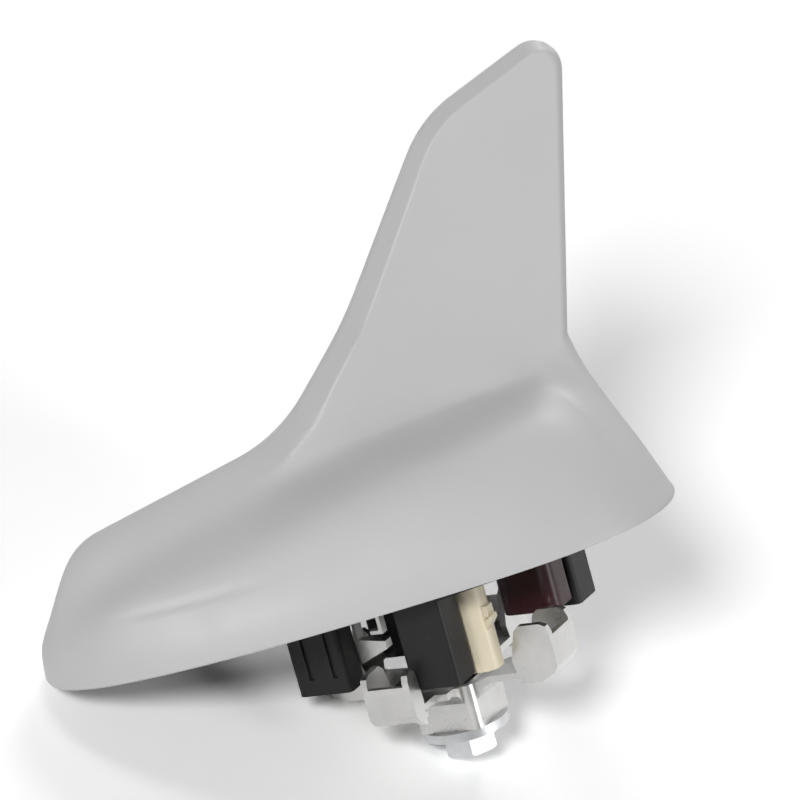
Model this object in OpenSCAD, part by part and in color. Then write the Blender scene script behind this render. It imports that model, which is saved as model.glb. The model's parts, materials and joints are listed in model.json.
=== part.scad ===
// Shark-fin roof antenna with clamp claw and integrated coax connectors.
// +X points to the rear of the car, +Y to its right side and +Z up.
// The origin lies on the clamp bolt's axis, on the roof skin's outer surface.

/* [Cover] */
// Length of the cover from nose to tail
cover_l = 103.4; // [100:0.1:112]
// Distance from the nose to the clamp bolt's axis
nose_to_bolt = 62.4; // [60:0.2:64]
// Half width of the cover's lower edge beside the bolt
side_w = 27.7; // [27:0.1:30]
// Growth of the half width for each millimetre towards the tail
side_flare = 0.16; // [0.12:0.01:0.18]
// Squareness of the nose in plan, 2 is an ellipse
nose_square = 2.7; // [2.3:0.1:3.2]
// Squareness of the tail in plan, 2 is an ellipse
tail_square = 2.7; // [2.4:0.1:3.4]
// Height of the fin's highest corner over the roof
fin_h = 75.6; // [70:0.2:78]
// Lean of the fin's trailing edge towards the tail, in degrees
trail_lean = 14.4; // [10:0.2:17]
// Half thickness of the fin at its foot
fin_foot_t = 4.8; // [4.4:0.1:5.4]
// Half thickness of the fin at its tip
fin_tip_t = 2.9; // [2.7:0.1:3.4]
// Wall of the cover
cover_wall = 1.8; // [1.4:0.1:2]
// Rise of the cover's lower edge over the roof
rim_z = 0.1; // [0:0.1:0.6]

/* [Base] */
// Thickness of the roof seal
seal_t = 1.6; // [1.2:0.1:2.2]
// Thickness of the die-cast base plate
plate_t = 2.5; // [2:0.1:3]
// Clearance between the base plate and the cover's wall
plate_gap = 0.35; // [0.1:0.05:0.5]
// Side of the square roof opening, which stands on its corner
opening_s = 40; // [39.6:0.1:40.4]
// Clearance between the pedestal and the roof opening
opening_gap = 0.4; // [0.3:0.05:0.6]
// Width over which the opening's side corners are cut off
opening_w = 42; // [41.5:0.5:43]
// Depth of the pedestal under the roof surface
pedestal_d = 1; // [0.8:0.1:1.6]
// Thickness of the circuit board
board_t = 1.2; // [1:0.1:1.6]

/* [Connectors] */
// Wall of a connector housing
housing_wall = 0.8; // [0.6:0.1:0.9]
// Outer radius of a coax contact's tube
tube_r = 1.25; // [1.1:0.05:1.3]
// Height of a contact's mouth over its housing's mouth
contact_recess = 4.6; // [4.4:0.1:5.2]

/* [Clamp] */
// Shank radius of the clamp bolt
bolt_r = 3; // [2.5:0.5:3]
// Length of the clamp bolt under its flange
bolt_l = 22; // [21:0.5:23]
// Width across the flats of the bolt's head
bolt_flats = 8; // [8:0.5:10]
// Diameter of the bolt's flange
flange_d = 14.2; // [13:0.1:15]
// Level of the claw's bottom face, with the clamp open
claw_z = -27.8; // [-28.2:0.1:-27.6]
// Thickness of the claw's sheet
claw_t = 1.1; // [0.9:0.1:1.2]
// Outer side of the claw's square cup
cup_s = 11.7; // [11.4:0.1:11.8]
// Width of a claw arm's outer plate
arm_w = 8.4; // [8:0.1:8.6]
// Height of the claw from its bottom to the prong tips
claw_h = 15.8; // [15:0.1:16.4]

/* [Hidden] */
$fn = 48;

// Side view of the cover: corners and rounding radii
nose_x = -nose_to_bolt;
tail_x = cover_l - nose_to_bolt;
mid_x = (nose_x + tail_x) / 2;
root_front = [nose_x + 4.4, 12.2];
root_rear = [tail_x - 8.1, 27];
nose_corner = [nose_x + 9, 19.9];
sweep_corner = [nose_x + 45.8, 25.8];
edge_corner = [tail_x - 42.8, 39.6];
brow_corner = [tail_x - 22, 66.6];
tip_corner = [root_rear.x + (fin_h - root_rear.y) * tan(trail_lean), fin_h];
nose_r = 11;
sweep_r = 24;
edge_r = 70;
brow_r = 20;
tip_r = 4.6;
trail_r = 2.4;
trail_thin = 0.72;

// Valley line between the body and the fin, from the nose to the tail
valley = [
    root_front, [nose_x + 14.4, 13.7], [nose_x + 26.4, 15.7], [nose_x + 40.4, 18.2],
    [tail_x - 49, 21.4], [tail_x - 32, 22.4], [tail_x - 16, 23], root_rear
];
valley_fade = 1.6;
ridge_w = 7.6;
ridge_h = 9;
ridge_end = [nose_x + 28, nose_x + 58];
ridge_r = 6;
lead_r = [2.6, 1.9];
fillet_w = 2.8;
fillet_h = 2.6;
fillet_end = [tail_x - 23, tail_x - 10];
ease_rings = 7;
ease_passes = 10;
ease_end = [tail_x - 22, tail_x - 10];

// Wall and shoulder of the body: inset from the lower edge and height
wall_low = [0.5, 4.2];
wall_top = [1.5, 9.1];
shoulder = [2.9, 10.9];
swell = [2, 1];
full_rise = 8;
nose_curve = [[0, 0], [0.03, 0.20], [0.12, 0.40], [0.32, 0.56], [0.60, 0.74], [0.82, 0.88], [1, 1]];
tail_curve = [[0, 0], [0.14, 0.15], [0.34, 0.34], [0.56, 0.52], [0.76, 0.69], [0.91, 0.84], [1, 1]];
nose_fade = [10, 48];
tail_fade = [18, 58];

// Mesh steps of the cover
spokes = 56;
body_rings = 12;
fin_rings = 38;
inner_rings = body_rings + fin_rings - 3;

// Levels of the base, board and housing parts
plate_z = seal_t;
plate_top = plate_z + plate_t;
board_z = plate_top + 2;
board_top = board_z + board_t;
seat_inset = cover_wall + plate_gap;
pedestal_s = opening_s - 2 * opening_gap;
pedestal_w = opening_w - 2 * opening_gap;
corner_r = 3;
boss_r = 4.75;
boss_bottom = -8.5;
boss_top = 8;
running_gap = 0.05;
fit_gap = 0.15;

// Screw places
screw_inset = 9.6;
function mirrored(x) = [[x, edge_y(x) - screw_inset], [x, screw_inset - edge_y(x)]];
cover_screw_at = concat(mirrored(nose_x + 16.4), mirrored(tail_x - 15.5));
board_screw_at = concat(mirrored(nose_x + 25.4), mirrored(tail_x - 26));
screw_r = 1.1;
screw_head_r = 2;
screw_head_t = 1.1;
frame_h = 4.2;
cord_t = 0.9;

// Holder and connector places in the frame turned to the opening's sides
holder_t = 1;
holder_bottom = -pedestal_d - holder_t;
front_at = [-13.9, -13.3];
side_black_at = [6.6, -14.1];
side_beige_at = [9.3, -7.3];
bordeaux_at = [13.6, 8.6];
rear_black_at = [14.4, 15.9];
blank_at = [-11.4, 9];
front_size = [9.6, 5.4];
side_black_size = [8.6, 6.4];
side_beige_size = [8.3, 5.3];
bordeaux_size = [10.2, 7];
rear_black_size = [9, 6.8];
blank_size = [9.8, 7.8];
front_bottom = -15.9;
side_black_bottom = -16.2;
side_beige_bottom = -17;
bordeaux_bottom = -13.2;
rear_black_bottom = -15;
blank_bottom = -18;
sharp_r = 0.9;
round_r = 2.5;
contacts = [
    [front_at, front_bottom, front_size, sharp_r],
    [side_black_at, side_black_bottom, side_black_size, sharp_r],
    [side_beige_at, side_beige_bottom, side_beige_size, round_r],
    [bordeaux_at, bordeaux_bottom, bordeaux_size, 2],
    [rear_black_at, rear_black_bottom, rear_black_size, sharp_r]
];
collar_r = 1.6;
floor_t = 3;
socket_w = 3.9;
pin_r = 0.45;

// Claw
arm_inner_r = opening_s / 2 + 0.05;
arm_outer_r = arm_inner_r + claw_t;
cup_top = claw_z + 7.4;
web_z = claw_z + 7.2;
tongue_z = claw_z + 13.6;
prong_z = claw_z + claw_h;
flange_reach = 6.6;
short_reach = 2.3;
web_notch = [3.05, -12.3, 3.4];
thread_gap = 0.05;
notch_gap = 0.25;

// Small geometry helpers
function unit(v) = v / norm(v);
function mix(p, q, t) = p + (q - p) * t;
function smooth(e0, e1, x) = let (t = min(1, max(0, (x - e0) / (e1 - e0)))) t * t * (3 - 2 * t);
function signed_power(c, e) = sign(c) * pow(abs(c), e);
function wrap(d) = d > 180 ? d - 360 : d < -180 ? d + 360 : d;

// Points of the arc of radius r that rounds the corner c between p and q
function corner_arc(p, c, q, r, n) =
    let (
        u = unit(p - c),
        v = unit(q - c),
        half = acos(u * v) / 2,
        centre = c + unit(u + v) * r / sin(half),
        from = c + u * r / tan(half) - centre,
        to = c + v * r / tan(half) - centre,
        a0 = atan2(from.y, from.x),
        turn = wrap(atan2(to.y, to.x) - a0)
    )
    [for (i = [0:n]) centre + r * [cos(a0 + turn * i / n), sin(a0 + turn * i / n)]];

// Point at the distance s along a path
function walk(path, s, i = 0) =
    let (step = norm(path[i + 1] - path[i]))
    s <= step || i >= len(path) - 2
        ? mix(path[i], path[i + 1], min(1, s / step))
        : walk(path, s - step, i + 1);
function path_length(path, i = 0) =
    i >= len(path) - 1 ? 0 : norm(path[i + 1] - path[i]) + path_length(path, i + 1);

// Quadratic spline through a control polygon, from its first to its last point
function spline(c, t) =
    let (
        m = len(c) - 2,
        i = min(floor(t * m), m - 1),
        u = t * m - i,
        p = i == 0 ? c[0] : (c[i] + c[i + 1]) / 2,
        q = i == m - 1 ? c[m + 1] : (c[i + 1] + c[i + 2]) / 2
    )
    (1 - u) * (1 - u) * p + 2 * u * (1 - u) * c[i + 1] + u * u * q;

// Lower edge of the cover in plan: half width at x, and point at the angle a, 0 at the tail
function edge_y(x) =
    let (n = x > mid_x ? tail_square : nose_square)
    (side_w + side_flare * x) * pow(1 - pow(abs(x - mid_x) / (cover_l / 2), n), 1 / n);
function rim_point(a) =
    let (
        n = cos(a) > 0 ? tail_square : nose_square,
        x = mid_x + cover_l / 2 * signed_power(cos(a), 2 / n)
    )
    [x, (side_w + side_flare * x) * signed_power(sin(a), 2 / n)];

// Side view of the fin: leading edge and trailing edge, both up to the tip
tip_arc = corner_arc(brow_corner, tip_corner, root_rear, tip_r, 12);
lead_path = concat(
    [root_front],
    corner_arc(root_front, nose_corner, sweep_corner, nose_r, 8),
    corner_arc(nose_corner, sweep_corner, edge_corner, sweep_r, 14),
    corner_arc(sweep_corner, edge_corner, brow_corner, edge_r, 4),
    corner_arc(edge_corner, brow_corner, tip_corner, brow_r, 8),
    [for (i = [0:6]) tip_arc[i]]
);
trail_path = concat([root_rear], [for (i = [12:-1:6]) tip_arc[i]]);
lead_length = path_length(lead_path);
trail_length = path_length(trail_path);
trail_by_height = [for (p = trail_path) [p.y, p.x]];
function lead_depth(p) =
    let (slope = (lookup(p.x + 2.5, lead_path) - lookup(p.x - 2.5, lead_path)) / 5)
    max(0, lookup(p.x, lead_path) - p.y) / sqrt(1 + slope * slope);
function trail_depth(p) = max(0, lookup(p.y, trail_by_height) - p.x) * cos(trail_lean);
function rounded(d, r) = d >= r ? 1 : sqrt(1 - (1 - d / r) * (1 - d / r));

// Point of the fin's flank: share t of the way up the fin, at the angle a
function fin_point(t, a) =
    let (
        front = walk(lead_path, lead_length * t),
        rear = walk(trail_path, trail_length * t * t),
        f = (1 - cos(a)) / 2,
        line = mix(root_rear, root_front, f),
        dip = line.y - lookup(line.x, valley),
        p = mix(rear, front, f) - [0, dip * pow(1 - t, 2 * valley_fade)],
        up = min(1, max(0, (p.y - root_rear.y) / (fin_h - root_rear.y))),
        thick = mix(fin_foot_t, fin_tip_t, up) * mix(trail_thin, 1, f * (2 - f)),
        on_fin = smooth(ridge_end[0], ridge_end[1], p.x),
        edge = rounded(lead_depth(p), mix(ridge_r, mix(lead_r[0], lead_r[1], up), on_fin)),
        ridge = ridge_w * sqrt(min(1.2, lead_depth(p) / ridge_h)),
        over = max(0, p.y - lookup(p.x, valley)),
        fillet = fillet_w * exp(-over / fillet_h) * (1 - smooth(fillet_end[0], fillet_end[1], p.x)),
        half = mix(ridge, (thick + fillet) * edge, on_fin) * rounded(trail_depth(p), trail_r),
        side = a == 0 || a == 180 ? 0 : sign(sin(a))
    )
    [p.x, side * half, p.y];

// Section of the body's flank between the lower edge and the valley
function side_section(rim, foot) =
    let (
        plan = [foot.x, foot.y] - rim,
        dir = unit(plan),
        s = rim + dir * shoulder[0],
        rest = [foot.x, foot.y] - s,
        rise = foot.z - shoulder[1],
        bulge = swell * min(1, rise / full_rise)
    )
    [
        [rim.x, rim.y, rim_z],
        [each rim + dir * wall_low[0], wall_low[1]],
        [each rim + dir * wall_top[0], wall_top[1]],
        [each s, shoulder[1]],
        [each s + rest * 0.40, shoulder[1] + rise * 0.40 + bulge[0]],
        [each s + rest * 0.78, shoulder[1] + rise * 0.78 + bulge[1]],
        foot
    ];
function share_section(rim, foot, curve) =
    [for (c = curve) [each mix(rim, [foot.x, foot.y], c[0]), rim_z + (foot.z - rim_z) * c[1]]];

// Point of the cover's body: share t of the way from the rim to the fin's foot
function body_point(t, a) =
    let (
        rim = rim_point(a),
        foot = fin_point(0, a),
        nose = 1 - smooth(nose_fade[0], nose_fade[1], abs(a - 180)),
        tail = 1 - smooth(tail_fade[0], tail_fade[1], 180 - abs(a - 180)),
        curve = side_section(rim, foot) * (1 - nose - tail)
            + share_section(rim, foot, nose_curve) * nose
            + share_section(rim, foot, tail_curve) * tail
    )
    spline(curve, t);

// Share of the way up the fin at its ring k, closer together at both ends
function fin_share(k) =
    let (u = k / (fin_rings + 1))
    u - 0.65 * sin(360 * u) / 360 * 180 / PI;

// Rings of the outer surface, eased along the foot of the fin, and of the inner one, a wall further in
last_ring = body_rings + fin_rings;
drawn_rings = concat(
    [for (k = [0:body_rings]) [for (j = [0:spokes - 1]) body_point(k / body_rings, 360 * j / spokes)]],
    [for (k = [1:fin_rings]) [for (j = [0:spokes - 1]) fin_point(fin_share(k), 360 * j / spokes)]]
);
function ease(k, j) =
    0.5 * (1 - smooth(0, ease_rings, abs(k - body_rings)))
        * (1 - smooth(ease_end[0], ease_end[1], drawn_rings[body_rings][j].x));
eases = [for (k = [0:last_ring]) [for (j = [0:spokes - 1]) ease(k, j)]];
function eased(rings, passes) =
    passes == 0 ? rings : eased([
        for (k = [0:last_ring]) k == 0 || k == last_ring ? rings[k] : [
            for (j = [0:spokes - 1]) mix(rings[k][j], (rings[k - 1][j] + rings[k + 1][j]) / 2, eases[k][j])
        ]
    ], passes - 1);
outer_rings = eased(drawn_rings, ease_passes);
function along(k, j) = outer_rings[k][(j + 1) % spokes] - outer_rings[k][(j + spokes - 1) % spokes];
function upward(k, j) = outer_rings[min(k + 1, last_ring)][j] - outer_rings[max(k - 1, 0)][j];
function inner_point(k, j) =
    let (
        n = unit(cross(along(k, j), upward(k, j))),
        flat = unit([n.x, n.y, 0])
    )
    outer_rings[k][j] - cover_wall * (k == 0 ? flat : n);
inner_ring_points = [for (k = [0:inner_rings]) [for (j = [0:spokes - 1]) inner_point(k, j)]];
function mean(points, i = 0) = i >= len(points) ? [0, 0, 0] : points[i] / len(points) + mean(points, i + 1);
function flatten(rings) = [for (ring = rings) for (p = ring) p];

// Triangles between the rings of one surface, which start at the index base, each quad cut the short way
function skin(base, rings, outward) = [
    for (k = [0:len(rings) - 2]) for (j = [0:spokes - 1])
        let (
            i = (j + 1) % spokes,
            a = base + k * spokes + j,
            b = base + k * spokes + i,
            c = b + spokes,
            d = a + spokes
        )
        each norm(rings[k][j] - rings[k + 1][i]) < norm(rings[k][i] - rings[k + 1][j])
            ? (outward ? [[a, c, b], [a, d, c]] : [[a, b, c], [a, c, d]])
            : (outward ? [[a, d, b], [b, d, c]] : [[a, b, d], [b, c, d]])
];
function cap(base, apex, outward) = [
    for (j = [0:spokes - 1])
        let (a = base + j, b = base + (j + 1) % spokes)
        outward ? [a, apex, b] : [a, b, apex]
];

// Painted cover: body and fin as one thin-walled moulding, open below
module cover() {
    inner_base = (last_ring + 1) * spokes;
    inner_count = (inner_rings + 1) * spokes;
    outer_apex = inner_base + inner_count;
    tip = walk(lead_path, lead_length);
    color("gainsboro")
        polyhedron(
            points = concat(
                flatten(outer_rings),
                flatten(inner_ring_points),
                [[tip.x, 0, tip.y], mean(inner_ring_points[inner_rings])]
            ),
            faces = concat(
                skin(0, outer_rings, true),
                cap(last_ring * spokes, outer_apex, true),
                skin(inner_base, inner_ring_points, false),
                cap(inner_base + inner_rings * spokes, outer_apex + 1, false),
                [for (j = [0:spokes - 1]) [j, (j + 1) % spokes, inner_base + j]],
                [for (j = [0:spokes - 1])
                    [(j + 1) % spokes, inner_base + (j + 1) % spokes, inner_base + j]]
            ),
            convexity = 8
        );
}

// Cover's outline in plan at the height z, and that outline drawn in by inset
function level_point(a, z) =
    let (
        shares = [for (i = [0:10]) [body_point(i / 20, a).z, i / 20]],
        p = body_point(lookup(z, shares), a)
    )
    [p.x, p.y];
function drawn_in(points, inset) =
    [for (i = [0:spokes - 1])
        let (d = unit(points[(i + 1) % spokes] - points[(i + spokes - 1) % spokes]))
        points[i] + inset * [-d.y, d.x]];
module level_area(z, inset) {
    outline = [for (j = [0:spokes - 1]) level_point(360 * j / spokes, z)];
    polygon(drawn_in(outline, inset));
}

// Turns its children to the opening's sides, which run at 45 degrees
module turned() {
    rotate(-45) children();
}

module rounded_rect(w, d, r) {
    square([w - 2 * r, d], center = true);
    square([w, d - 2 * r], center = true);
    for (sx = [-1, 1]) for (sy = [-1, 1])
        translate([sx * (w / 2 - r), sy * (d / 2 - r)]) circle(r);
}

// Roof opening and pedestal: a square on its corner with cut side corners
module opening_area(side, width) {
    intersection() {
        turned() rounded_rect(side, side, corner_r);
        square([2 * side, width], center = true);
    }
}

// Slot in the middle of each side that lets a claw arm pass
module arm_slots(side, depth) {
    for (a = [0:90:270])
        rotate(a) translate([side / 2 - depth, -arm_w / 2 - 0.5]) square([depth + 1, arm_w + 1]);
}

// Rubber cord between the base plate's edge and the cover
module cover_seal() {
    color("dimgray") translate([0, 0, plate_top]) linear_extrude(cord_t) difference() {
        level_area(plate_top + cord_t, seat_inset);
        level_area(plate_top + cord_t, seat_inset + 1.8);
    }
}

// Moulded frame bonded inside the cover, which takes the cover screws
module cover_frame() {
    z = plate_top + cord_t;
    ring_h = 2;
    ring_w = 1.6;
    lug = [2.4, 9];
    post_r = 2.4;
    color("black") difference() {
        union() {
            translate([0, 0, z]) linear_extrude(ring_h) {
                difference() {
                    level_area(z + ring_h, seat_inset);
                    level_area(z + ring_h, seat_inset + ring_w);
                }
                intersection() {
                    level_area(z + ring_h, seat_inset + ring_w / 2);
                    for (p = cover_screw_at) translate([p.x, p.y + sign(p.y) * lug.y / 2])
                        square(lug, center = true);
                }
            }
            for (p = cover_screw_at) translate([p.x, p.y, plate_top]) cylinder(h = frame_h, r = post_r);
        }
        for (p = cover_screw_at) translate([p.x, p.y, plate_top - 1])
            cylinder(h = frame_h, r = screw_r + running_gap);
    }
}

// Zinc die-cast base with the pedestal and the threaded boss
module base_plate() {
    color("silver") difference() {
        union() {
            translate([0, 0, plate_z]) linear_extrude(plate_t) level_area(plate_top, seat_inset);
            translate([0, 0, -pedestal_d]) linear_extrude(pedestal_d + plate_z) difference() {
                opening_area(pedestal_s, pedestal_w);
                turned() arm_slots(pedestal_s, 6.4);
            }
            translate([0, 0, boss_bottom]) cylinder(h = boss_top - boss_bottom, r = boss_r);
            for (p = board_screw_at) translate([p.x, p.y, plate_z])
                cylinder(h = board_z - plate_z, r = 2.4);
        }
        translate([0, 0, boss_bottom - 1])
            cylinder(h = boss_top - boss_bottom - 0.8, r = bolt_r + thread_gap);
        turned() for (c = contacts) translate([c[0].x, c[0].y, -pedestal_d - 1])
            cylinder(h = plate_top + pedestal_d + 2, r = collar_r + fit_gap);
        for (p = cover_screw_at) translate([p.x, p.y, 0]) {
            cylinder(h = plate_top + 1, r = screw_r + fit_gap);
            translate([0, 0, plate_z - 1]) cylinder(h = screw_head_t + 1.1, r = screw_head_r + fit_gap);
        }
        for (p = board_screw_at) translate([p.x, p.y, plate_z + 1])
            cylinder(h = board_z, r = screw_r + running_gap);
    }
}

// Gasket that lies on the roof skin round the opening
module base_seal() {
    color("dimgray") linear_extrude(seal_t) difference() {
        level_area(seal_t, seat_inset);
        opening_area(opening_s, opening_w);
    }
}

module circuit_board() {
    color("darkgreen") translate([0, 0, board_z]) linear_extrude(board_t) difference() {
        level_area(board_top, seat_inset + 3.5);
        circle(boss_r + 0.4);
        for (p = board_screw_at) translate(p) circle(screw_r + fit_gap);
        for (p = cover_screw_at) translate(p) circle(2.8);
        turned() for (c = contacts) translate([c[0].x, c[0].y]) circle(pin_r + running_gap);
    }
}

// Tinned lid over the amplifier between the patch and the boss
module shield_can() {
    can = [17, 20, 2.6];
    color("silver") translate([-16.5, 0, board_top]) difference() {
        translate([0, 0, can.z / 2]) cube(can, center = true);
        translate([0, 0, can.z / 2 - 0.3]) cube(can - [0.5, 0.5, 0.3], center = true);
    }
}

module patch_antenna() {
    color("tan") translate([-35.5, 0, board_top]) linear_extrude(3.4) rounded_rect(15, 15, 1);
}

module patch_electrode() {
    color("whitesmoke") {
        translate([-35.5, 0, board_top + 3.4]) linear_extrude(0.15) rounded_rect(12, 12, 0.6);
        translate([-34, 0, board_top + 3.55]) cylinder(h = 0.4, r = 0.8);
    }
}

// Folded sheet for the phone bands, open towards the board
module phone_radiator() {
    size = [17, 15, 6.4];
    sheet = 0.4;
    color("gold") translate([tail_x - 18.5, 0, board_top]) difference() {
        translate([0, 0, size.z / 2]) cube(size, center = true);
        translate([0, 0, size.z / 2 - sheet])
            cube([size.x + 1, size.y - 2 * sheet, size.z], center = true);
        translate([0, 0, size.z]) cube([size.x + 1, 3, 4 * sheet], center = true);
    }
}

// Upright board with the broadcast radiator, which reaches up into the fin
fin_board_t = 1;
fin_board_outline = [for (p = [
    [-20.9, board_top], [-3.2, board_top], [-3.6, 24], [3.5, 55], [4.2, 61],
    [-8.9, 58], [-17.4, 48], [-28.9, 33.5], [-36.9, 26], [-36.9, 20.5], [-20.9, 20.5]
]) [root_rear.x + p.x, p.y]];
module fin_board() {
    color("seagreen") translate([0, fin_board_t / 2, 0]) rotate([90, 0, 0])
        linear_extrude(fin_board_t) polygon(fin_board_outline);
}

// Foam strip that steadies the board's top against the fin
module fin_pad() {
    color("darkslategray") translate([root_rear.x - 3.9, 0, 55]) rotate([0, -14, 0]) difference() {
        cube([7, 1.9, 4], center = true);
        cube([8, fin_board_t, 5], center = true);
    }
}

// Spring fingers between the main board and the upright board
module contact_springs() {
    color("goldenrod") for (x = [tail_x - 27, tail_x - 14]) for (s = [-1, 1])
        translate([x, s * 1.6, board_top]) rotate([90, 0, 90])
            linear_extrude(1.6) polygon([
                [-0.9, 0], [0.9, 0], [0.9, 0.4], [s > 0 ? -0.5 : 0.9, 3.4],
                [s > 0 ? -0.9 : 0.5, 3.4]
            ]);
}

// Plate that carries the five housings under the pedestal
module connector_holder() {
    color("#202020") translate([0, 0, holder_bottom]) linear_extrude(holder_t) difference() {
        opening_area(pedestal_s - 0.2, pedestal_w - 0.2);
        circle(boss_r + 0.2);
        turned() {
            arm_slots(pedestal_s, 6.4);
            for (c = contacts) translate(c[0]) housing_area(c[2], c[3], fit_gap / 3);
            translate(blank_at) housing_area(blank_size, sharp_r, fit_gap / 3);
        }
    }
}

module housing_area(size, r, grow = 0) {
    rounded_rect(size.x + 2 * grow, size.y + 2 * grow, r);
}

// Housing with its socket open downwards; ribs and latches are added by the callers
module housing(c) {
    bottom = c[1];
    turned() translate([c[0].x, c[0].y, 0]) difference() {
        union() {
            translate([0, 0, bottom]) linear_extrude(-pedestal_d - bottom) housing_area(c[2], c[3]);
            children();
        }
        translate([0, 0, bottom - 1]) linear_extrude(-pedestal_d - floor_t - bottom + 1)
            rounded_rect(c[2].x - 2 * housing_wall, socket_w, 0.6);
        translate([0, 0, bottom]) cylinder(h = -bottom, r = collar_r + running_gap);
    }
}

// Two grooves in the outer face that end over a plain rim
module front_connector() {
    groove = [0.9, 0.8, 11];
    groove_x = [-1.6, 2.7];
    color("#2a2826") difference() {
        housing(contacts[0]);
        turned() for (x = groove_x)
            translate([front_at.x + x, front_at.y - front_size.y / 2, front_bottom + 2.6 + groove.z / 2])
                cube(groove, center = true);
    }
}

module side_connector_black() {
    color("#2a2826") housing(contacts[1]);
}

// Beige housing with a snap latch on the side that faces the tail
module side_connector_beige() {
    color("wheat") housing(contacts[2]) translate([side_beige_size.x / 2, -0.4, side_beige_bottom + 6.4]) {
        translate([0.3, 0, 3]) cube([0.8, 2, 1.8], center = true);
        rotate([90, 0, 0]) linear_extrude(2, center = true)
            polygon([[-0.2, 0], [1.1, 1.6], [1.1, 2.4], [-0.2, 1.4]]);
    }
}

module rear_connector_bordeaux() {
    color("#3a1018") housing(contacts[3]);
}

module rear_connector_black() {
    color("#2a2826") housing(contacts[4]);
}

// Sealed housing of the unused place, on the far side of the clamp
module blank_plug() {
    color("#201f1e") turned() translate([blank_at.x, blank_at.y, blank_bottom])
        linear_extrude(-pedestal_d - blank_bottom) housing_area(blank_size, sharp_r);
}

// Bent sheet spring beside the front connector, with a hook over a flat tab
module ground_spring() {
    sheet = 0.6;
    color("silver") turned() translate([-6.3, -10.5, 0]) rotate([90, 0, 0]) linear_extrude(2, center = true)
        polygon([
            [-2.4, holder_bottom], [-1.8, holder_bottom], [-1.8, -9], [2.8, -9.6],
            [2.8, -10.9], [-2.4, -13]
        ]);
    color("silver") turned() translate([-4.6, -10.5, 0]) rotate([90, 0, 0]) linear_extrude(1.6, center = true)
        polygon([
            [0.4, holder_bottom], [1, holder_bottom], [1, -8.4], [-1.2, -8.4],
            [-1.2, -8.4 + sheet], [0.4, -8.4 + sheet]
        ]);
}

// Outer coax tubes, one in each housing, with a collar from the socket's floor upwards
module contact_tubes() {
    color("goldenrod") turned() for (c = contacts)
        translate([c[0].x, c[0].y, c[1] + contact_recess]) difference() {
            union() {
                cylinder(h = plate_top - c[1] - contact_recess, r = tube_r);
                translate([0, 0, -pedestal_d - floor_t - c[1] - contact_recess])
                    cylinder(h = plate_top + pedestal_d + floor_t, r = collar_r);
            }
            translate([0, 0, -1]) cylinder(h = plate_top - c[1] + 2, r = tube_r - 0.3);
        }
}

module contact_insulators() {
    color("white") turned() for (c = contacts)
        translate([c[0].x, c[0].y, c[1] + contact_recess + 1.5]) difference() {
            cylinder(h = plate_top - c[1] - contact_recess - 1.5, r = tube_r - 0.3);
            translate([0, 0, -1]) cylinder(h = plate_top - c[1] + 2, r = pin_r);
        }
}

module contact_pins() {
    color("gold") turned() for (c = contacts)
        translate([c[0].x, c[0].y, c[1] + contact_recess + 0.4])
            cylinder(h = board_top + 0.5 - c[1] - contact_recess - 0.4, r = pin_r);
}

// Screws from below through the base plate into the cover frame
module cover_screws() {
    color("silver") for (p = cover_screw_at) translate([p.x, p.y, plate_z + 0.1]) {
        cylinder(h = screw_head_t, r = screw_head_r);
        cylinder(h = plate_t + 2.6, r = screw_r);
    }
}

module board_screws() {
    color("silver") for (p = board_screw_at) translate([p.x, p.y, 0]) {
        translate([0, 0, board_top]) cylinder(h = screw_head_t, r = screw_head_r);
        translate([0, 0, board_top - 4]) cylinder(h = 4, r = screw_r);
    }
}

// Side flange of a claw arm, with its prong on top, in the arm's radius and height
module arm_flange(reach) {
    inner = arm_inner_r - reach;
    polygon([
        [inner + 0.5, web_z + 0.3],
        [max(inner + 0.6, arm_inner_r - 5.6), web_z - 0.9],
        [max(inner + 0.8, arm_inner_r - 2.2), web_z - 0.9],
        [arm_outer_r - 0.9, web_z + 0.2],
        [arm_outer_r, web_z + 1.4],
        [arm_outer_r, prong_z - 1.6],
        [arm_outer_r - 0.4, prong_z - 0.5],
        [arm_outer_r - 1.4, prong_z],
        [max(inner + 1.4, arm_inner_r - 4), prong_z],
        [max(inner + 0.5, arm_inner_r - 5), prong_z - 0.8],
        [inner, tongue_z - 3.4]
    ]);
}

// Channel-shaped arm from the cup to its two prongs
module claw_arm(reach_a, reach_b) {
    side_z = (arm_w - claw_t) / 2;
    rotate([90, 0, 0]) {
        linear_extrude(arm_w, center = true) polygon([
            [cup_s / 2 - claw_t, web_z - 2.6], [cup_s / 2, web_z - 2.6],
            [cup_s / 2 + 1.4, web_z - 0.9], [cup_s / 2 + 3, web_z - 0.2],
            [arm_outer_r - 0.9, web_z + 0.2], [arm_outer_r, web_z + 1.4],
            [arm_outer_r, tongue_z], [arm_inner_r, tongue_z],
            [arm_inner_r, web_z + claw_t + 0.8], [arm_inner_r - 0.6, web_z + claw_t],
            [cup_s / 2 + 2.6, web_z + claw_t - 0.2], [cup_s / 2 + 0.6, web_z + 0.2],
            [cup_s / 2 - claw_t, web_z]
        ]);
        translate([0, 0, side_z]) linear_extrude(claw_t, center = true) arm_flange(reach_a);
        translate([0, 0, -side_z]) linear_extrude(claw_t, center = true) arm_flange(reach_b);
    }
}

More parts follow.
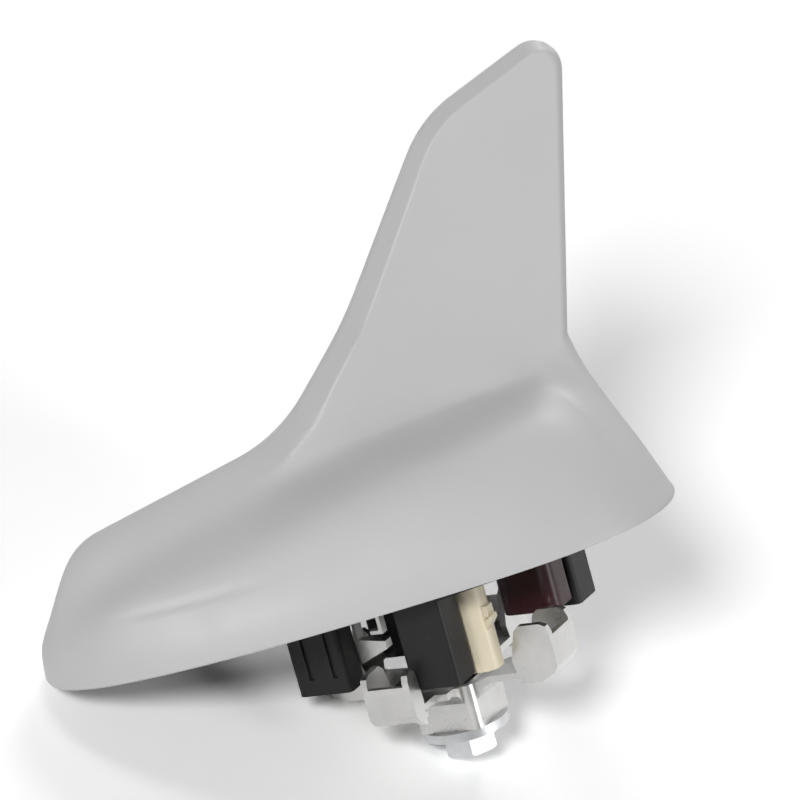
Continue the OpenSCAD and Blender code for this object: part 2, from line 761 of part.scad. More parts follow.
// Stamped claw: square cup with four channel arms that end in two prongs each
module clamp_claw() {
    color("lightgray") turned() difference() {
        union() {
            translate([0, 0, claw_z]) linear_extrude(cup_top - claw_z) rounded_rect(cup_s, cup_s, 1.6);
            for (a = [0, 90, 180]) rotate(a) claw_arm(flange_reach, flange_reach);
            rotate(-90) claw_arm(flange_reach, short_reach);
        }
        translate([0, 0, claw_z + claw_t]) linear_extrude(cup_top - claw_z)
            rounded_rect(cup_s - 2 * claw_t, cup_s - 2 * claw_t, 0.8);
        translate([0, 0, claw_z - 1]) cylinder(h = claw_t + 2, r = bolt_r + 0.3);
        translate([
            side_black_at.x - side_black_size.x / 2 - notch_gap,
            side_black_at.y - side_black_size.y / 2 - notch_gap,
            web_z - 3
        ])
            cube([3, side_black_size.y + 2 * notch_gap, 6]);
        translate([-web_notch.x - 3, web_notch.y, web_z - 3]) cube([3, web_notch.z, 6]);
    }
}

// Hexagon bolt with a flange, head down, its lower edge chamfered
module clamp_bolt() {
    flange_t = 1.5;
    head_h = 3.6;
    chamfer = 0.5;
    point_r = bolt_flats / 2 / cos(30);
    color("silver") translate([0, 0, claw_z - 0.02]) {
        cylinder(h = bolt_l, r = bolt_r);
        translate([0, 0, -flange_t]) cylinder(h = flange_t, r = flange_d / 2);
        difference() {
            translate([0, 0, -flange_t - head_h]) rotate(12) cylinder(h = head_h + 0.5, r = point_r, $fn = 6);
            translate([0, 0, -flange_t - head_h - 1]) difference() {
                cylinder(h = 1 + chamfer, r = point_r + 2);
                translate([0, 0, -1]) cylinder(
                    h = 2 + chamfer, r1 = point_r + 0.15 - (2 + chamfer), r2 = point_r + 0.15
                );
            }
        }
    }
}

// Ring that keeps the claw on the bolt
module bolt_retainer() {
    color("#404040") translate([0, 0, claw_z + claw_t + 0.1]) difference() {
        cylinder(h = 1.4, r = cup_s / 2 - claw_t - 0.4);
        translate([0, 0, -1]) cylinder(h = 4, r = bolt_r);
    }
}

cover();
cover_seal();
cover_frame();
base_plate();
base_seal();
circuit_board();
shield_can();
patch_antenna();
patch_electrode();
phone_radiator();
fin_board();
fin_pad();
contact_springs();
connector_holder();
front_connector();
side_connector_black();
side_connector_beige();
rear_connector_bordeaux();
rear_connector_black();
blank_plug();
ground_spring();
contact_tubes();
contact_insulators();
contact_pins();
cover_screws();
board_screws();
clamp_claw();
clamp_bolt();
bolt_retainer();
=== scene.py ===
"""Looks of the roof antenna: camera, light, table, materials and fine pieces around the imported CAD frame."""

import json
import math

import bmesh
import bpy
import numpy as np
from mathutils import Matrix, Vector


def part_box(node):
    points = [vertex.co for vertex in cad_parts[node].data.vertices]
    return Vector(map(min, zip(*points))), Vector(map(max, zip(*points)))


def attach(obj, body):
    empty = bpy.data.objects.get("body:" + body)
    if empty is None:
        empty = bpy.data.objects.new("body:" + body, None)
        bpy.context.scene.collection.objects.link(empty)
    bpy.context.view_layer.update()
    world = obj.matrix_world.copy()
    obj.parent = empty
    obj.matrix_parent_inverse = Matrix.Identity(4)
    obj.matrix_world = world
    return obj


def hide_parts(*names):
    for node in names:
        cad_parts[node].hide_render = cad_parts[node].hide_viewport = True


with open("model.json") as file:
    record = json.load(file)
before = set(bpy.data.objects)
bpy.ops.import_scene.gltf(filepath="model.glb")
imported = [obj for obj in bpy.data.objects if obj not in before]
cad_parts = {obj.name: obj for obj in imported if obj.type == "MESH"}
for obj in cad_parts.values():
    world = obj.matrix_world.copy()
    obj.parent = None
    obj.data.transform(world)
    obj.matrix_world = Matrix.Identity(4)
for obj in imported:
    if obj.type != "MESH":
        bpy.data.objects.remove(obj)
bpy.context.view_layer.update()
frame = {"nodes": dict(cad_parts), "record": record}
scene = bpy.context.scene
MM = 0.001


def new_object(name, data):
    made = bpy.data.objects.new(name, data)
    scene.collection.objects.link(made)
    return made


def placed(point, up):
    """A matrix that sets an object at a point, with its Z axis along up."""
    return Matrix.Translation(point) @ up.to_track_quat("Z", "Y").to_matrix().to_4x4()


# Camera
AZIMUTH, ELEVATION, ROLL = (math.radians(a) for a in (-15.0, 13.0, 15.385))
DISTANCE_MM, PX_PER_MM = 700.0, 6.3265
SHIFT_U, SHIFT_V = 3.128 * MM, -24.692 * MM
IMAGE_PX, SENSOR_MM = 800, 36
NEAR, FAR = 0.01, 20

ca, sa, ce, se = math.cos(AZIMUTH), math.sin(AZIMUTH), math.cos(ELEVATION), math.sin(ELEVATION)
level_right = Vector((ca, sa, 0))
level_up = Vector((-sa * se, ca * se, ce))
forward = Vector((-sa * ce, ca * ce, -se))
image_right = level_right * math.cos(ROLL) - level_up * math.sin(ROLL)
image_up = level_right * math.sin(ROLL) + level_up * math.cos(ROLL)
eye = -image_right * SHIFT_U - image_up * SHIFT_V - forward * (DISTANCE_MM * MM)

cam_data = bpy.data.cameras.new("camera")
cam_data.sensor_width = SENSOR_MM
cam_data.lens = DISTANCE_MM * PX_PER_MM / IMAGE_PX * SENSOR_MM
cam_data.clip_start, cam_data.clip_end = NEAR, FAR
camera = new_object("camera", cam_data)
camera.matrix_world = Matrix((
    (image_right.x, image_up.x, -forward.x, eye.x),
    (image_right.y, image_up.y, -forward.y, eye.y),
    (image_right.z, image_up.z, -forward.z, eye.z),
    (0, 0, 0, 1),
))
scene.camera = camera
scene.view_settings.view_transform = "Standard"

# Node helpers: a noise's usual range, and the places of the colours in a mix node's sockets
NOISE_RANGE = (0.3, 0.7)
MIX_A, MIX_B, MIX_OUT = 6, 7, 2


class Nodes:
    """A node tree, with short calls to add to it. A value may be a number or another node's socket."""

    def __init__(self, tree):
        self.tree = tree

    def add(self, kind, **settings):
        node = self.tree.nodes.new(kind)
        for key, value in settings.items():
            setattr(node, key, value)
        return node

    def link(self, source, target):
        self.tree.links.new(source, target)

    def feed(self, value, socket):
        if hasattr(value, "links"):
            self.link(value, socket)
        else:
            socket.default_value = value

    def span(self, value, low, high, to_low, to_high):
        node = self.add("ShaderNodeMapRange")
        for key, number in (("From Min", low), ("From Max", high), ("To Min", to_low), ("To Max", to_high)):
            node.inputs[key].default_value = number
        self.link(value, node.inputs["Value"])
        return node.outputs["Result"]

    def maths(self, how, a, b):
        node = self.add("ShaderNodeMath", operation=how)
        self.feed(a, node.inputs[0])
        self.feed(b, node.inputs[1])
        return node.outputs[0]

    def either(self, fac, at_zero, at_one):
        """A mix of two shaders."""
        node = self.add("ShaderNodeMixShader")
        for source, socket in zip((fac, at_zero, at_one), node.inputs):
            self.link(source, socket)
        return node.outputs[0]

    def seen(self):
        """One for camera, glossy and transmission rays, and zero for the others, which carry light."""
        path = self.add("ShaderNodeLightPath")
        reached = self.maths("MAXIMUM", path.outputs["Is Glossy Ray"], path.outputs["Is Transmission Ray"])
        return self.maths("MAXIMUM", path.outputs["Is Camera Ray"], reached)


class Material(Nodes):
    """A material with a principled shader, and textures placed by the object's own coordinates."""

    def __init__(self, name):
        self.mat = bpy.data.materials.new(name)
        self.mat.use_nodes = True
        super().__init__(self.mat.node_tree)
        self.shader = self.tree.nodes["Principled BSDF"]
        self.out = self.tree.nodes["Material Output"]
        self.place = self.add("ShaderNodeTexCoord").outputs["Object"]

    def stretched(self, scale):
        node = self.add("ShaderNodeMapping")
        node.inputs["Scale"].default_value = scale
        self.link(self.place, node.inputs["Vector"])
        return node.outputs["Vector"]

    def noise(self, per_m, detail, rough=0.5, at=None):
        node = self.add("ShaderNodeTexNoise")
        node.inputs["Scale"].default_value = per_m
        node.inputs["Detail"].default_value = detail
        node.inputs["Roughness"].default_value = rough
        self.link(at or self.place, node.inputs["Vector"])
        return node.outputs["Fac"]

    def cells(self, per_m, at=None):
        node = self.add("ShaderNodeTexVoronoi")
        node.inputs["Scale"].default_value = per_m
        self.link(at or self.place, node.inputs["Vector"])
        return node.outputs["Distance"]

    def blend(self, fac, a, b):
        """A mix of two colours, each a tuple or a socket."""
        node = self.add("ShaderNodeMix", data_type="RGBA")
        self.link(fac, node.inputs["Factor"])
        for value, index in ((a, MIX_A), (b, MIX_B)):
            self.feed((*value, 1) if isinstance(value, tuple) else value, node.inputs[index])
        return node.outputs[MIX_OUT]

    def swing(self, noise, low, high):
        """Spread a noise's usual range over low to high."""
        return self.span(noise, *NOISE_RANGE, low, high)

    def clouded(self, noise, colour, dark, bright):
        return self.blend(self.swing(noise, 0, 1), shade(colour, dark), shade(colour, bright))

    def bump(self, height, depth_mm, under=None):
        node = self.add("ShaderNodeBump")
        node.inputs["Strength"].default_value = 1.0
        node.inputs["Distance"].default_value = depth_mm * MM
        self.link(height, node.inputs["Height"])
        if under:
            self.link(under, node.inputs["Normal"])
        return node.outputs["Normal"]

    def finish(self, colour, rough, normal, metallic=0.0, specular=0.5):
        self.link(colour, self.shader.inputs["Base Color"])
        self.link(rough, self.shader.inputs["Roughness"])
        self.link(normal, self.shader.inputs["Normal"])
        self.shader.inputs["Metallic"].default_value = metallic
        self.shader.inputs["Specular IOR Level"].default_value = specular
        return self.mat


def shade(colour, k):
    return tuple(min(1.0, c * k) for c in colour)


def paler(colour, by):
    return tuple(c + by for c in colour)


# Materials: textures' scales are per metre, and bumps' depths are millimetres
def primer(name, colour):
    """Sprayed primer: an even satin coat with a faint cloud, fine dust specks and a very slight peel."""
    n = Material(name)
    speck = n.noise(5200, detail=2)
    tone = n.clouded(n.noise(28, detail=4), colour, dark=0.975, bright=1.02)
    tone = n.blend(n.span(speck, 0.62, 0.75, 0, 0.35), tone, shade(colour, 0.86))
    peel = n.bump(n.noise(420, detail=3), 0.012)
    return n.finish(tone, n.swing(n.noise(160, detail=4), 0.45, 0.53), n.bump(speck, 0.006, peel))


def moulded(name, colour, rough, grain, specular, scuff):
    """Moulded plastic: a fine eroded grain, slight flow marks and pale scuffs."""
    n = Material(name)
    flow = n.noise(90, detail=4, at=n.stretched((1, 1, 0.35)))
    worn = n.noise(520, detail=6, rough=0.7)
    tone = n.clouded(flow, colour, dark=0.82, bright=1.15)
    tone = n.blend(n.span(worn, 0.62, 0.76, 0, scuff), tone, paler(colour, 0.10))
    eroded = n.bump(n.noise(6500, detail=2), grain)
    return n.finish(tone, n.swing(worn, *rough), n.bump(flow, 0.02, eroded), specular=specular)


def zinc_sheet(name, colour):
    """Bright zinc on stamped sheet: rolling lines, cloudy passivation and a few dull spots."""
    n = Material(name)
    rolled = n.noise(1500, detail=4, rough=0.65, at=n.stretched((1, 1, 0.07)))
    cloud = n.noise(170, detail=5, rough=0.6)
    spot = n.noise(1300, detail=3)
    tone = n.clouded(cloud, colour, dark=0.9, bright=1.06)
    tone = n.blend(n.span(spot, 0.68, 0.75, 0, 0.4), tone, shade(colour, 0.5))
    dull = n.maths("ADD", n.swing(cloud, 0.26, 0.40), n.swing(rolled, -0.05, 0.07))
    return n.finish(tone, dull, n.bump(cloud, 0.03, n.bump(rolled, 0.005)), metallic=1.0)


def plated_steel(name, colour):
    """Zinc-plated forged steel: grainy, with dark pits and rubbed bright areas."""
    n = Material(name)
    cloud = n.noise(260, detail=5, rough=0.6)
    pit = n.noise(1700, detail=4, rough=0.6)
    tone = n.clouded(cloud, colour, dark=0.84, bright=1.1)
    tone = n.blend(n.span(pit, 0.64, 0.72, 0, 0.6), tone, shade(colour, 0.3))
    grain = n.bump(n.cells(1500), 0.012)
    return n.finish(tone, n.swing(cloud, 0.36, 0.48), n.bump(pit, 0.03, grain), metallic=1.0)


def cast_metal(name, colour):
    """Die-cast zinc as it leaves the die: matt, with a fine sandy skin."""
    n = Material(name)
    sand = n.noise(2600, detail=4, rough=0.6)
    tone = n.clouded(n.noise(120, detail=4), colour, dark=0.85, bright=1.08)
    return n.finish(tone, n.swing(sand, 0.42, 0.6), n.bump(sand, 0.03), metallic=1.0)


def rubber(name, colour):
    """Moulded rubber: matt and dusty."""
    n = Material(name)
    dust = n.noise(340, detail=6, rough=0.7)
    tone = n.blend(n.span(dust, 0.45, 0.75, 0, 1), colour, paler(colour, 0.035))
    return n.finish(tone, n.swing(dust, 0.7, 0.86), n.bump(n.noise(3000, detail=3), 0.03), specular=0.3)


def board(name, colour):
    """Circuit board: a solder mask that is paler over the copper."""
    n = Material(name)
    tracks = n.cells(650, at=n.stretched((1, 0.25, 1)))
    across = n.cells(480, at=n.stretched((0.25, 1, 1)))
    copper = n.maths("MULTIPLY", n.span(tracks, 0.28, 0.36, 0, 1), n.span(across, 0.2, 0.3, 0, 1))
    tone = n.blend(copper, shade(colour, 0.7), shade(colour, 1.5))
    return n.finish(tone, n.swing(n.noise(500, detail=4), 0.25, 0.4), n.bump(copper, 0.03))


def fired(name, colour):
    """Fired ceramic: chalky and speckled."""
    n = Material(name)
    speck = n.noise(2400, detail=4, rough=0.7)
    tone = n.blend(n.span(speck, 0.35, 0.7, 0, 1), shade(colour, 1.05), shade(colour, 0.8))
    return n.finish(tone, n.swing(speck, 0.6, 0.8), n.bump(speck, 0.02), specular=0.35)


def foam(name, colour):
    """Open-cell foam, with painted shade in its pores: darker towards each pore's centre and lighter on the
    cell walls.
    """
    n = Material(name)
    pore = n.cells(2200)
    # Painted shade: the colour darkens towards each pore's centre, where the bump is lowest, and lightens on
    # the cell walls
    tone = n.blend(n.span(pore, 0.1, 0.6, 0, 1), shade(colour, 0.4), shade(colour, 1.3))
    return n.finish(tone, n.span(pore, 0, 0.7, 0.95, 0.8), n.bump(pore, 0.25), specular=0.2)


def plated(name, colour, rough=(0.18, 0.32)):
    """Thin bright plating on brass or sheet, with a few fingerprints."""
    n = Material(name)
    print_marks = n.noise(420, detail=5, rough=0.65)
    fine = n.noise(2600, detail=3, at=n.stretched((1, 1, 0.1)))
    tone = n.clouded(print_marks, colour, dark=0.85, bright=1.08)
    return n.finish(tone, n.swing(print_marks, *rough), n.bump(fine, 0.006), metallic=1.0)


looks = {
    "primer_grey": primer("primer_grey", (0.585, 0.585, 0.59)),
    "rubber": rubber("rubber", (0.022, 0.021, 0.020)),
    "black_plastic": moulded(
        "black_plastic", (0.015, 0.0145, 0.0145), rough=(0.36, 0.5), grain=0.008, specular=0.3, scuff=0.15,
    ),
    "die_cast": cast_metal("die_cast", (0.50, 0.50, 0.50)),
    "board_green": board("board_green", (0.018, 0.11, 0.045)),
    "tinned_sheet": plated("tinned_sheet", (0.70, 0.70, 0.68), rough=(0.25, 0.42)),
    "ceramic": fired("ceramic", (0.58, 0.50, 0.38)),
    "silver_print": plated("silver_print", (0.80, 0.80, 0.77), rough=(0.35, 0.5)),
    "foam": foam("foam", (0.06, 0.065, 0.075)),
    "brass": plated("brass", (0.78, 0.58, 0.28)),
    "beige_plastic": moulded(
        "beige_plastic", (0.88, 0.79, 0.59), rough=(0.28, 0.42), grain=0.006, specular=0.5, scuff=0.3,
    ),
    "bordeaux_plastic": moulded(
        "bordeaux_plastic", (0.040, 0.008, 0.012), rough=(0.26, 0.42), grain=0.006, specular=0.4, scuff=0.12,
    ),
    "spring_steel": zinc_sheet("spring_steel", (0.66, 0.655, 0.64)),
    "white_plastic": moulded(
        "white_plastic", (0.80, 0.80, 0.78), rough=(0.35, 0.5), grain=0.006, specular=0.4, scuff=0.2,
    ),
    "zinc_steel": plated_steel("zinc_steel", (0.64, 0.65, 0.66)),
}
for part in frame["record"]["subparts"]:
    holder = frame["nodes"][part["node"]].data.materials
    holder.clear()
    holder.append(looks[part["material_slot"]])

# Smooth skin of the cover
# Millimetres in the CAD frame: -X is the nose, +Z the fin's tip, z = 0 the roof skin.
COVER_L, NOSE_TO_BOLT, SIDE_W, SIDE_FLARE, SQUARE = 103.4, 62.4, 27.7, 0.16, 2.7
FIN_H, TRAIL_LEAN, FOOT_T, TIP_T, WALL, RIM_Z = 75.6, math.radians(14.4), 4.8, 2.9, 1.8, 0.1
NOSE, TAIL = -NOSE_TO_BOLT, COVER_L - NOSE_TO_BOLT
MIDDLE = (NOSE + TAIL) / 2

# The fin's side view, as x and z: corners of the leading edge and the tip, their radii, and the valley
ROOT_FRONT, ROOT_REAR = np.array((NOSE + 4.4, 12.2)), np.array((TAIL - 8.1, 27.0))
NOSE_CORNER, SWEEP_CORNER = np.array((NOSE + 9, 19.9)), np.array((NOSE + 45.8, 25.8))
EDGE_CORNER, BROW_CORNER = np.array((TAIL - 42.8, 39.6)), np.array((TAIL - 22, 66.6))
TIP_CORNER = np.array((ROOT_REAR[0] + (FIN_H - ROOT_REAR[1]) * math.tan(TRAIL_LEAN), FIN_H))
NOSE_R, SWEEP_R, LEAD_R, BROW_R, TIP_R = 11, 24, 70, 20, 4.6
ARC_STEPS, TIP_SPLIT = 24, 12
VALLEY = np.array((
    ROOT_FRONT, (NOSE + 14.4, 13.7), (NOSE + 26.4, 15.7), (NOSE + 40.4, 18.2),
    (TAIL - 49, 21.4), (TAIL - 32, 22.4), (TAIL - 16, 23), ROOT_REAR,
))
DIP_POWER = 3.2

# The fin's thickness: thinner and rounded to the rear, bevelled in front, filleted at its foot
TRAIL_THIN, TRAIL_R = 0.72, 2.4
EDGE_R, EDGE_R_LESS, SLOPE_REACH = 2.6, 0.7, 2.5
BEVEL_START, BEVEL_WIDE, BEVEL_SHARE, BEVEL_ROUND = 0.20, 0.75, 0.95, 0.4
FILLET_OUT, FILLET_UP, FILLET_END = 2.8, 2.6, (TAIL - 23, TAIL - 10)

# The ridge over the nose, which turns into the fin over FIN_FROM
RIDGE_HALF, RIDGE_DEEP, RIDGE_MOST, RIDGE_EDGE_R = 7.6, 9, 1.2, 6
FIN_FROM = (NOSE + 28, NOSE + 58)

# The body's sections, from the rim at 0 to the valley at 1, and where the ends' ones fade, in degrees
FLANK_CURVE = ((0, 0), (0.03, 0.22), (0.16, 0.50), (0.33, 0.78), (0.50, 0.94), (0.78, 0.98), (1, 1))
NOSE_CURVE = ((0, 0), (0.03, 0.20), (0.12, 0.40), (0.32, 0.56), (0.60, 0.74), (0.82, 0.88), (1, 1))
TAIL_CURVE = ((0, 0), (0.14, 0.15), (0.34, 0.34), (0.56, 0.52), (0.76, 0.69), (0.91, 0.84), (1, 1))
NOSE_FADE, TAIL_FADE = (10, 48), (18, 58)
CREASE_Z, CREASE_DEEP, CREASE_HALF = 9.6, 0.30, 0.40
CREASE_START, CREASE_END = (NOSE + 6, NOSE + 16), (NOSE + 24, NOSE + 36)
RIM_R, RIM_DEGREES = 0.3, (0, 22.5, 45, 67.5, 90)

# The mesh, FINER times finer than the solid's, and its smoothing where the body and the fin meet
FINER = 3
SPOKES, BODY_STEPS, FIN_STEPS = 56 * FINER, 12 * FINER, 39 * FINER
INNER_RINGS = 41 * FINER + 1
STEP_EASE = 0.65
EASE_STEPS, EASE_PASSES, EASE_END = 7 * FINER, 10 * FINER * FINER, (TAIL - 22, TAIL - 10)
SHARP_DEGREES = 50
TINY = 1e-9


def soft_step(e0, e1, x):
    k = np.clip((x - e0) / (e1 - e0), 0, 1)
    return k * k * (3 - 2 * k)


def arc(p, c, q, r):
    """Points of the arc of radius r that rounds the corner c between p and q."""
    u, v = (p - c) / np.linalg.norm(p - c), (q - c) / np.linalg.norm(q - c)
    half = math.acos(float(u @ v)) / 2
    centre = c + (u + v) / np.linalg.norm(u + v) * r / math.sin(half)
    start, end = c + u * r / math.tan(half) - centre, c + v * r / math.tan(half) - centre
    a0 = math.atan2(start[1], start[0])
    turn = (math.atan2(end[1], end[0]) - a0 + math.pi) % (2 * math.pi) - math.pi
    angles = [a0 + turn * i / ARC_STEPS for i in range(ARC_STEPS + 1)]
    return [centre + r * np.array((math.cos(a), math.sin(a))) for a in angles]


tip_round = arc(BROW_CORNER, TIP_CORNER, ROOT_REAR, TIP_R)
LEAD = np.array(
    [ROOT_FRONT]
    + arc(ROOT_FRONT, NOSE_CORNER, SWEEP_CORNER, NOSE_R)
    + arc(NOSE_CORNER, SWEEP_CORNER, EDGE_CORNER, SWEEP_R)
    + arc(SWEEP_CORNER, EDGE_CORNER, BROW_CORNER, LEAD_R)
    + arc(EDGE_CORNER, BROW_CORNER, TIP_CORNER, BROW_R)
    + tip_round[:TIP_SPLIT + 1]
)
TRAIL = np.array([ROOT_REAR] + tip_round[:TIP_SPLIT - 1:-1])


def walk(path, share):
    """The point at a share of a path's length."""
    run = np.concatenate(((0,), np.cumsum(np.linalg.norm(np.diff(path, axis=0), axis=1))))
    return np.stack([np.interp(share * run[-1], run, path[:, i]) for i in (0, 1)], -1)


def valley_z(x):
    return np.interp(x, VALLEY[:, 0], VALLEY[:, 1])


def lead_z(x):
    return np.interp(x, LEAD[:, 0], LEAD[:, 1])


def lead_depth(x, z):
    """How far a point lies inside the leading edge."""
    slope = (lead_z(x + SLOPE_REACH) - lead_z(x - SLOPE_REACH)) / (2 * SLOPE_REACH)
    return np.maximum(0, lead_z(x) - z) / np.sqrt(1 + slope * slope)


def rounding(depth, r):
    """The share of the full width that a round of radius r leaves at a depth."""
    return np.where(depth >= r, 1, np.sqrt(np.clip(1 - (1 - depth / r) ** 2, 0, 1)))


def side_of(a):
    """The sine of an angle, and exactly zero on the middle plane."""
    return np.where(np.abs(np.sin(a)) < TINY, 0, np.sin(a))


def fin_points(share, a):
    """Points of the fin's flank, by the share of the way up and the angle about the fin from its rear."""
    front, rear = walk(LEAD, share), walk(TRAIL, share * share)
    f = (1 - np.cos(a)) / 2
    line_x = ROOT_REAR[0] + (ROOT_FRONT[0] - ROOT_REAR[0]) * f
    line_z = ROOT_REAR[1] + (ROOT_FRONT[1] - ROOT_REAR[1]) * f
    dip = line_z - valley_z(line_x)
    x = rear[..., 0] + (front[..., 0] - rear[..., 0]) * f
    z = rear[..., 1] + (front[..., 1] - rear[..., 1]) * f - dip * (1 - share) ** DIP_POWER
    up = np.clip((z - ROOT_REAR[1]) / (FIN_H - ROOT_REAR[1]), 0, 1)
    thick = (FOOT_T + (TIP_T - FOOT_T) * up) * (TRAIL_THIN + (1 - TRAIL_THIN) * f * (2 - f))
    on_fin = soft_step(*FIN_FROM, x)
    depth = lead_depth(x, z)
    edge_r = RIDGE_EDGE_R + (EDGE_R - EDGE_R_LESS * up - RIDGE_EDGE_R) * on_fin
    round_edge = rounding(depth, edge_r)
    bevel = BEVEL_START + (1 - BEVEL_START) * depth / (edge_r * BEVEL_WIDE)
    flat_edge = np.minimum(rounding(depth, BEVEL_ROUND), np.minimum(1, bevel))
    edge = round_edge + (flat_edge - round_edge) * BEVEL_SHARE
    ridge = RIDGE_HALF * np.sqrt(np.minimum(RIDGE_MOST, depth / RIDGE_DEEP))
    over = np.maximum(0, z - valley_z(x))
    fillet = FILLET_OUT * np.exp(-over / FILLET_UP) * (1 - soft_step(*FILLET_END, x))
    behind = np.maximum(0, np.interp(z, TRAIL[:, 1], TRAIL[:, 0]) - x) * math.cos(TRAIL_LEAN)
    half = (ridge + ((thick + fillet) * edge - ridge) * on_fin) * rounding(behind, TRAIL_R)
    return np.stack((x, np.sign(side_of(a)) * half, z), -1)


def rim_points(a):
    """Points of the rim in plan: a superellipse that widens to the rear."""
    def power(c):
        return np.sign(c) * np.abs(c) ** (2 / SQUARE)
    x = MIDDLE + COVER_L / 2 * power(np.cos(a))
    return np.stack((x, (SIDE_W + SIDE_FLARE * x) * power(side_of(a))), -1)


def spline(points, t):
    """A point of the quadratic B-spline from the first of the points to the last."""
    m = len(points) - 2
    i = min(int(t * m), m - 1)
    u = t * m - i
    p = points[0] if i == 0 else (points[i] + points[i + 1]) / 2
    q = points[m + 1] if i == m - 1 else (points[i + 1] + points[i + 2]) / 2
    return (1 - u) ** 2 * p + 2 * u * (1 - u) * points[i + 1] + u * u * q


def cover_rings():
    """Rings of the cover's outer surface, from the rim to just below the fin's tip."""
    a = np.arange(SPOKES) * 2 * math.pi / SPOKES
    rim, foot = rim_points(a), fin_points(np.zeros(SPOKES), a)
    way, rise = foot[:, :2] - rim, foot[:, 2:] - RIM_Z
    inward = way / np.linalg.norm(way, axis=1)[:, None]
    flank, nose_like, tail_like = (
        [np.concatenate((rim + way * p, RIM_Z + rise * q), 1) for p, q in curve]
        for curve in (FLANK_CURVE, NOSE_CURVE, TAIL_CURVE)
    )
    off_nose = np.degrees(np.abs(a - math.pi))
    nose = (1 - soft_step(*NOSE_FADE, off_nose))[:, None]
    tail = (1 - soft_step(*TAIL_FADE, 180 - off_nose))[:, None]
    section = [f * (1 - nose - tail) + p * nose + q * tail for f, p, q in zip(flank, nose_like, tail_like)]
    rings = [spline(section, k / BODY_STEPS) for k in range(BODY_STEPS + 1)]
    for k in range(1, FIN_STEPS):
        u = k / FIN_STEPS
        share = u - STEP_EASE * math.sin(2 * math.pi * u) / (2 * math.pi)
        rings.append(fin_points(np.full(SPOKES, share), a))
    rings = np.array(rings)

    near = soft_step(*CREASE_START, rings[..., 0]) * (1 - soft_step(*CREASE_END, rings[..., 0]))
    crease = CREASE_DEEP * near * np.exp(-((rings[..., 2] - CREASE_Z) / CREASE_HALF) ** 2)
    rings[..., :2] += inward * crease[..., None]

    by_ring = 1 - soft_step(0, EASE_STEPS, np.abs(np.arange(len(rings)) - BODY_STEPS))
    by_spoke = 1 - soft_step(*EASE_END, foot[:, 0])
    ease = 0.5 * by_ring[:, None] * by_spoke[None, :]
    for _ in range(EASE_PASSES):
        middle = (rings[:-2] + rings[2:]) / 2
        rings[1:-1] += (middle - rings[1:-1]) * ease[1:-1, :, None]
    return rings


def cover_skin():
    """The cover as one smooth mesh in metres: outer skin, rounded rim and a coarser inner skin."""
    outer = cover_rings()
    along = np.roll(outer, -1, axis=1) - np.roll(outer, 1, axis=1)
    upward = np.concatenate((outer[1:2] - outer[:1], outer[2:] - outer[:-2], outer[-1:] - outer[-2:-1]))
    normal = np.cross(along, upward)
    normal /= np.linalg.norm(normal, axis=2)[..., None]
    flat = normal[0] * (1, 1, 0)
    flat /= np.linalg.norm(flat, axis=1)[:, None]
    inner = outer - WALL * normal
    inner[0] = outer[0] - WALL * flat
    inner = inner[:INNER_RINGS:FINER]
    rim = []
    for turn in map(math.radians, RIM_DEGREES):
        rim.append(outer[0] - flat * RIM_R * (1 - math.sin(turn)) + (0, 0, RIM_R * (1 - math.cos(turn))))
    rings = np.concatenate((inner[::-1], np.array(rim), outer[1:]))
    low, high = (np.array(corner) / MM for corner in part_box("cover"))
    tip = walk(LEAD, 1.0)
    points = np.concatenate((rings.reshape(-1, 3), [inner[-1].mean(axis=0)], [(tip[0], 0, tip[1])]))
    points = np.clip(points, low, high) * MM
    count, inner_top, outer_top = len(rings), len(points) - 2, len(points) - 1
    faces = []
    for j in range(SPOKES):
        i = (j + 1) % SPOKES
        faces.append((inner_top, i, j))
        faces.append((outer_top, (count - 1) * SPOKES + j, (count - 1) * SPOKES + i))
        for k in range(count - 1):
            faces.append((k * SPOKES + j, k * SPOKES + i, (k + 1) * SPOKES + i, (k + 1) * SPOKES + j))
    mesh = bpy.data.meshes.new("cover_skin")
    mesh.from_pydata(points.tolist(), [], faces)
    mesh.shade_smooth()
    mesh.set_sharp_from_angle(angle=math.radians(SHARP_DEGREES))
    mesh.materials.append(looks["primer_grey"])
    piece = new_object("cover_skin", mesh)
    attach(piece, "antenna")
    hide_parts("cover")


cover_skin()

# Table: it lights the part as plain paper, is seen as two layers of paper and fades to white far away
TABLE_UP = Vector((0.419, -0.435, 0.797)).normalized()
TABLE_DEPTH = -28.6 * MM
TABLE_REACH, TABLE_SIDES = 4.0, 96
TABLE_SHOWN = (0.95, 0.48)
TABLE_FADE = (0.25, 0.70)

table_mesh = bpy.data.meshes.new("table")
work = bmesh.new()
bmesh.ops.create_circle(work, cap_ends=True, segments=TABLE_SIDES, radius=TABLE_REACH)
work.to_mesh(table_mesh)
work.free()
table = new_object("table", table_mesh)
table.matrix_world = placed(TABLE_UP * TABLE_DEPTH, TABLE_UP)

t = Material("table_white")
t.shader.inputs["Base Color"].default_value = (0.92, 0.92, 0.925, 1)
t.shader.inputs["Roughness"].default_value = 0.9
t.shader.inputs["Specular IOR Level"].default_value = 0.1
shown = t.add("ShaderNodeAddShader")
for white, socket in zip(TABLE_SHOWN, shown.inputs):
    paper = t.add("ShaderNodeBsdfDiffuse")
    paper.inputs["Color"].default_value = (white, white, white, 1)
    t.link(paper.outputs[0], socket)
away = t.add("ShaderNodeVectorMath", operation="LENGTH")
t.link(t.place, away.inputs[0])
far_white = t.add("ShaderNodeEmission").outputs[0]
faded = t.either(t.span(away.outputs["Value"], *TABLE_FADE, 0, 1), shown.outputs[0], far_white)
face = t.either(t.seen(), t.shader.outputs[0], faded)
underside = t.add("ShaderNodeNewGeometry").outputs["Backfacing"]
clear = t.add("ShaderNodeBsdfTransparent").outputs[0]
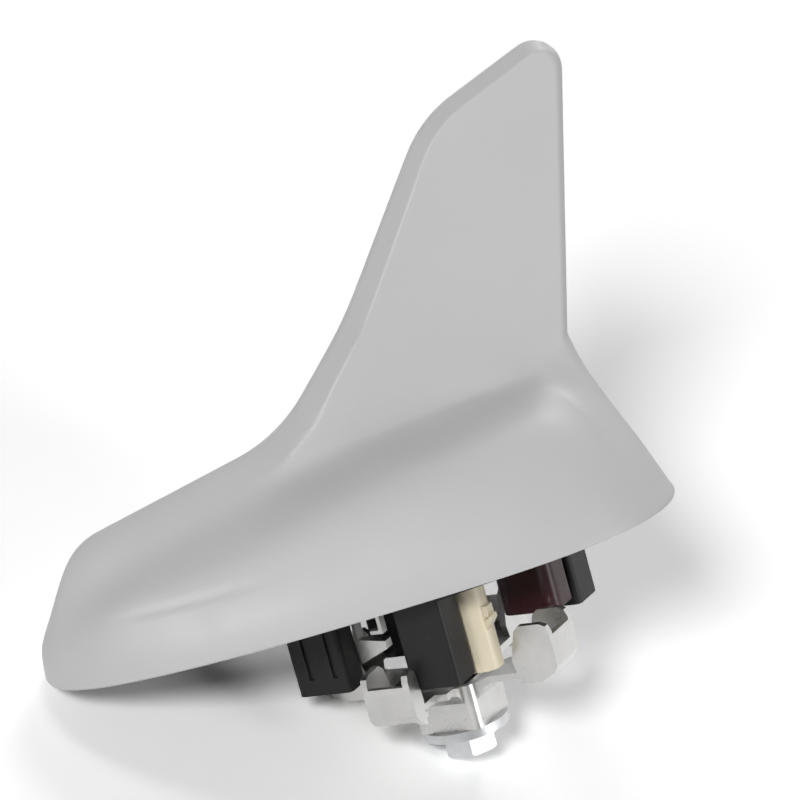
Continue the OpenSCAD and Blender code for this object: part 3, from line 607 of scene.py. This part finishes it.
t.link(t.either(underside, face, clear), t.out.inputs["Surface"])
table_mesh.materials.append(t.mat)

# Light
LAMP_AWAY = 3.0
LAMP_AIM = Vector((-0.005, 0, 0.025))


def softbox(name, right, up, back, size, level):
    """A round soft lamp, placed by the image's axes; level is what it gives a white surface that faces it."""
    data = bpy.data.lights.new(name, "AREA")
    data.shape = "DISK"
    data.size = size
    data.energy = level * math.pi * math.pi * LAMP_AWAY * LAMP_AWAY
    towards = (image_right * right + image_up * up - forward * back).normalized()
    lamp = new_object(name, data)
    lamp.matrix_world = placed(LAMP_AIM + towards * LAMP_AWAY, towards)


softbox("key", right=-0.17, up=0.17, back=0.97, size=0.60, level=0.61)
softbox("back", right=0.32, up=1.0, back=-0.50, size=1.20, level=0.31)
softbox("top", right=0.05, up=1.0, back=0.20, size=1.20, level=0.12)
softbox("right", right=1.2, up=-0.12, back=0.6, size=1.20, level=0.25)

# World: a weak even light, and a white backdrop whose side behind the camera is darker in reflections
WORLD_LIGHT = 0.02
ROOM, ROOM_FADE = 0.3, (-0.1, 0.75)

world = bpy.data.worlds.new("studio")
scene.world = world
world.use_nodes = True
w = Nodes(world.node_tree)
w.tree.nodes.clear()
glow = w.add("ShaderNodeBackground")
glow.inputs["Color"].default_value = (0.97, 0.98, 1.0, 1)
glow.inputs["Strength"].default_value = WORLD_LIGHT
backdrop = w.add("ShaderNodeBackground")
backdrop.inputs["Color"].default_value = (1, 1, 1, 1)
side = w.add("ShaderNodeVectorMath", operation="DOT_PRODUCT")
w.link(w.add("ShaderNodeTexCoord").outputs["Generated"], side.inputs[0])
side.inputs[1].default_value = -forward
room = w.span(side.outputs["Value"], *ROOM_FADE, 1.0, ROOM)
camera_ray = w.add("ShaderNodeLightPath").outputs["Is Camera Ray"]
w.link(w.maths("MAXIMUM", room, camera_ray), backdrop.inputs["Strength"])
studio = w.either(w.seen(), glow.outputs[0], backdrop.outputs[0])
w.link(studio, w.add("ShaderNodeOutputWorld").inputs["Surface"])
